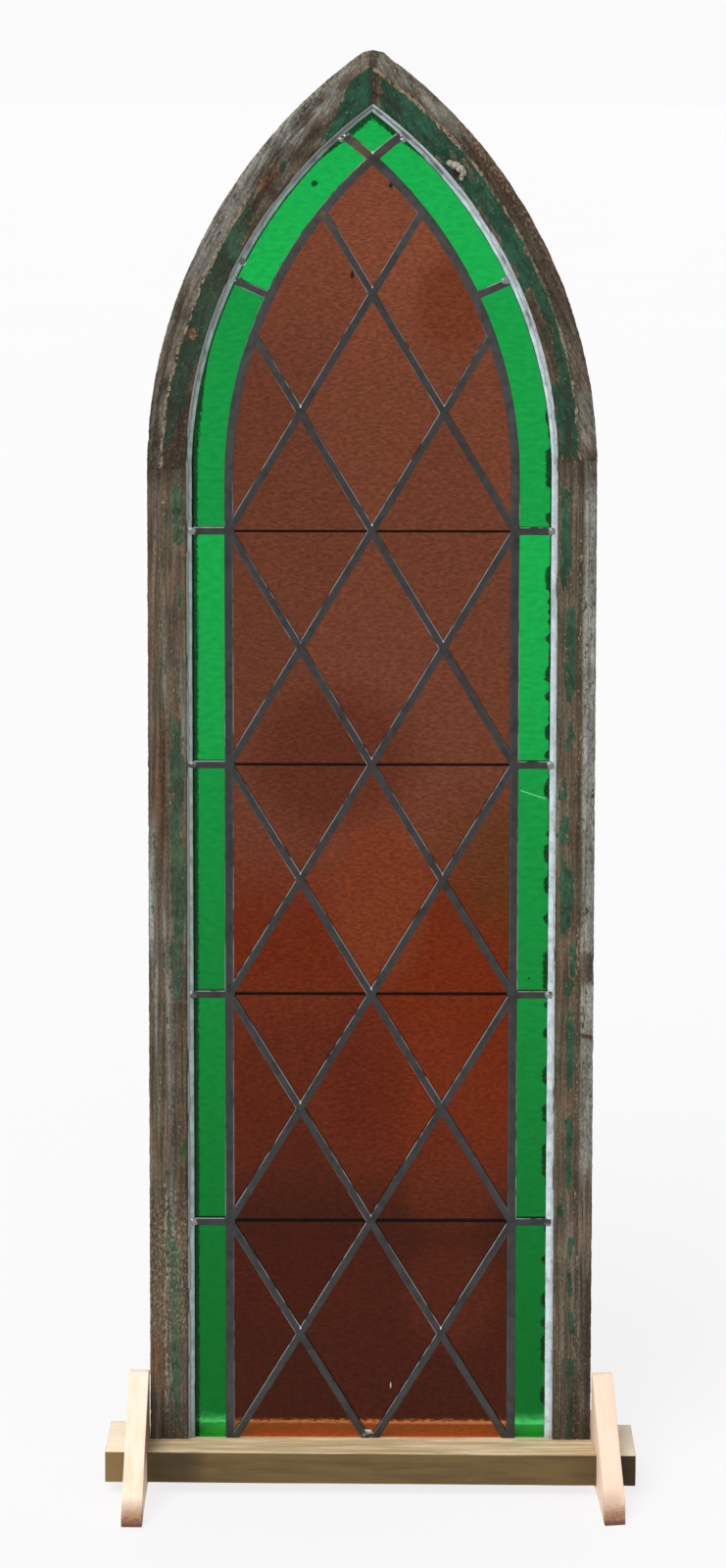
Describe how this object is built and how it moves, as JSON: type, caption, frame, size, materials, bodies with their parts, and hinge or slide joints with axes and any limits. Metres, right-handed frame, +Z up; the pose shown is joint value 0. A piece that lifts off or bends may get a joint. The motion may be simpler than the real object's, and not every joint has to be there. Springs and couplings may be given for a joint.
{
  "type": "stained glass window",
  "caption": "Tall pointed-arch leaded window with a green glass border and amber diamond panes in a weathered timber frame, standing upright on a low timber stand.",
  "frame": {"origin": "on the floor, below the centre of the whole piece's bounding box", "axes": "+Z up, the front face of the window looks along -Y, +X to the viewer's right"},
  "size_m": [0.7168, 0.2133, 1.9515],
  "materials": {
    "painted_timber": "grey-brown weathered timber with ragged old mastic and flaking dark green paint",
    "green_glass": "emerald green cathedral glass, slightly rippled, dirty along the outer lead",
    "amber_glass": "dense red-brown amber cathedral glass, finely hammered",
    "lead": "dull blue-grey lead came with brighter solder at the joints",
    "edge_lead": "pale oxidised perimeter lead",
    "putty": "pale grey uneven glazing putty",
    "iron_bar": "dark thin saddle bar",
    "treated_timber": "sawn green-brown treated softwood",
    "pale_pine": "pale planed pine with browner end grain"
  },
  "bodies": {
    "root": {"came_net": "lead", "came_perimeter_left": "edge_lead", "came_perimeter_right": "edge_lead", "frame_arch_left": "painted_timber", "frame_arch_right": "painted_timber", "frame_stile_left": "painted_timber", "frame_stile_right": "painted_timber", "glass_amber_centre_1": "amber_glass", "glass_amber_centre_2": "amber_glass", "glass_amber_centre_3": "amber_glass", "glass_amber_centre_4": "amber_glass", "glass_amber_centre_5": "amber_glass", "glass_amber_centre_6": "amber_glass", "glass_amber_edge_left_1": "amber_glass", "glass_amber_edge_left_2": "amber_glass", "glass_amber_edge_left_3": "amber_glass", "glass_amber_edge_left_4": "amber_glass", "glass_amber_edge_left_5": "amber_glass", "glass_amber_edge_right_1": "amber_glass", "glass_amber_edge_right_2": "amber_glass", "glass_amber_edge_right_3": "amber_glass", "glass_amber_edge_right_4": "amber_glass", "glass_amber_edge_right_5": "amber_glass", "glass_amber_left_1": "amber_glass", "glass_amber_left_2": "amber_glass", "glass_amber_left_3": "amber_glass", "glass_amber_left_4": "amber_glass", "glass_amber_left_5": "amber_glass", "glass_amber_left_6": "amber_glass", "glass_amber_right_1": "amber_glass", "glass_amber_right_2": "amber_glass", "glass_amber_right_3": "amber_glass", "glass_amber_right_4": "amber_glass", "glass_amber_right_5": "amber_glass", "glass_amber_right_6": "amber_glass", "glass_green_crown": "green_glass", "glass_green_left_1": "green_glass", "glass_green_left_2": "green_glass", "glass_green_left_3": "green_glass", "glass_green_left_4": "green_glass", "glass_green_left_5": "green_glass", "glass_green_left_6": "green_glass", "glass_green_right_1": "green_glass", "glass_green_right_2": "green_glass", "glass_green_right_3": "green_glass", "glass_green_right_4": "green_glass", "glass_green_right_5": "green_glass", "glass_green_right_6": "green_glass", "putty_bead_left": "putty", "putty_bead_right": "putty", "saddle_bar_1": "iron_bar", "saddle_bar_2": "iron_bar", "saddle_bar_3": "iron_bar", "saddle_bar_4": "iron_bar", "stand_foot_left": "pale_pine", "stand_foot_right": "pale_pine", "stand_shelf": "treated_timber"}
  },
  "joints": []
}
